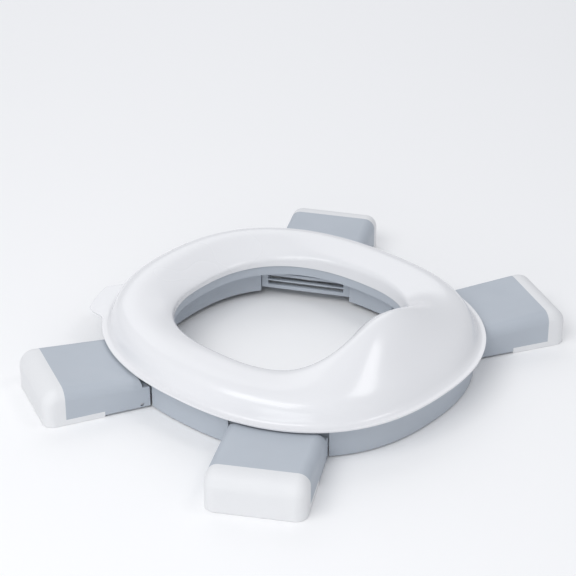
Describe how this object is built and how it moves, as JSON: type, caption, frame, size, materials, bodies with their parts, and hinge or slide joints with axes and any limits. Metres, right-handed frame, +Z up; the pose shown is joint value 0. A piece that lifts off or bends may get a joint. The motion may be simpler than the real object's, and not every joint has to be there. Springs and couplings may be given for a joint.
{
  "type": "folding potty training seat",
  "caption": "Oval child's toilet training seat with raised splash guard on a ring base with splayed fold-out legs.",
  "frame": {"origin": "middle of the bounding box's bottom face, on the plane the feet rest on", "axes": "+Z up, splash guard (front) towards -Y, legs spread along +X and -X"},
  "size_m": [0.377, 0.2922, 0.069],
  "materials": {
    "seat_white": "moulded gloss white",
    "grey_plastic": "fine matte blue-grey",
    "foot_soft": "soft white moulding",
    "steel": "plain steel"
  },
  "bodies": {
    "base": {"base_ring": "grey_plastic", "housing_screws": "steel", "hinge_housing_front_left": "grey_plastic", "hinge_pin_front_left": "steel", "click_spring_front_left": "steel", "hinge_housing_front_right": "grey_plastic", "hinge_pin_front_right": "steel", "click_spring_front_right": "steel", "hinge_housing_rear_left": "grey_plastic", "hinge_pin_rear_left": "steel", "click_spring_rear_left": "steel", "hinge_housing_rear_right": "grey_plastic", "hinge_pin_rear_right": "steel", "click_spring_rear_right": "steel"},
    "seat": {"seat_shell": "seat_white"},
    "leg_front_left": {"leg_shell_front_left": "grey_plastic", "leg_foot_front_left": "foot_soft"},
    "leg_front_right": {"leg_shell_front_right": "grey_plastic", "leg_foot_front_right": "foot_soft"},
    "leg_rear_left": {"leg_shell_rear_left": "grey_plastic", "leg_foot_rear_left": "foot_soft"},
    "leg_rear_right": {"leg_shell_rear_right": "grey_plastic", "leg_foot_rear_right": "foot_soft"}
  },
  "joints": [
    {"name": "fold_front_left", "type": "hinge", "parent": "base", "child": "leg_front_left", "pos_m": [-0.1085, -0.0811, 0.0035], "axis": [0.4894, -0.8721, 0], "range_deg": [0, 180]},
    {"name": "fold_front_right", "type": "hinge", "parent": "base", "child": "leg_front_right", "pos_m": [0.1085, -0.0811, 0.0035], "axis": [0.4894, 0.8721, 0], "range_deg": [0, 180]},
    {"name": "fold_rear_left", "type": "hinge", "parent": "base", "child": "leg_rear_left", "pos_m": [-0.1097, 0.0654, 0.0035], "axis": [-0.4478, -0.8942, 0], "range_deg": [0, 180]},
    {"name": "fold_rear_right", "type": "hinge", "parent": "base", "child": "leg_rear_right", "pos_m": [0.1097, 0.0654, 0.0035], "axis": [-0.4478, 0.8942, 0], "range_deg": [0, 180]},
    {"name": "seat_lift", "type": "slide", "parent": "base", "child": "seat", "axis": [0, 0, 1], "range_m": [0, 0.06]}
  ]
}
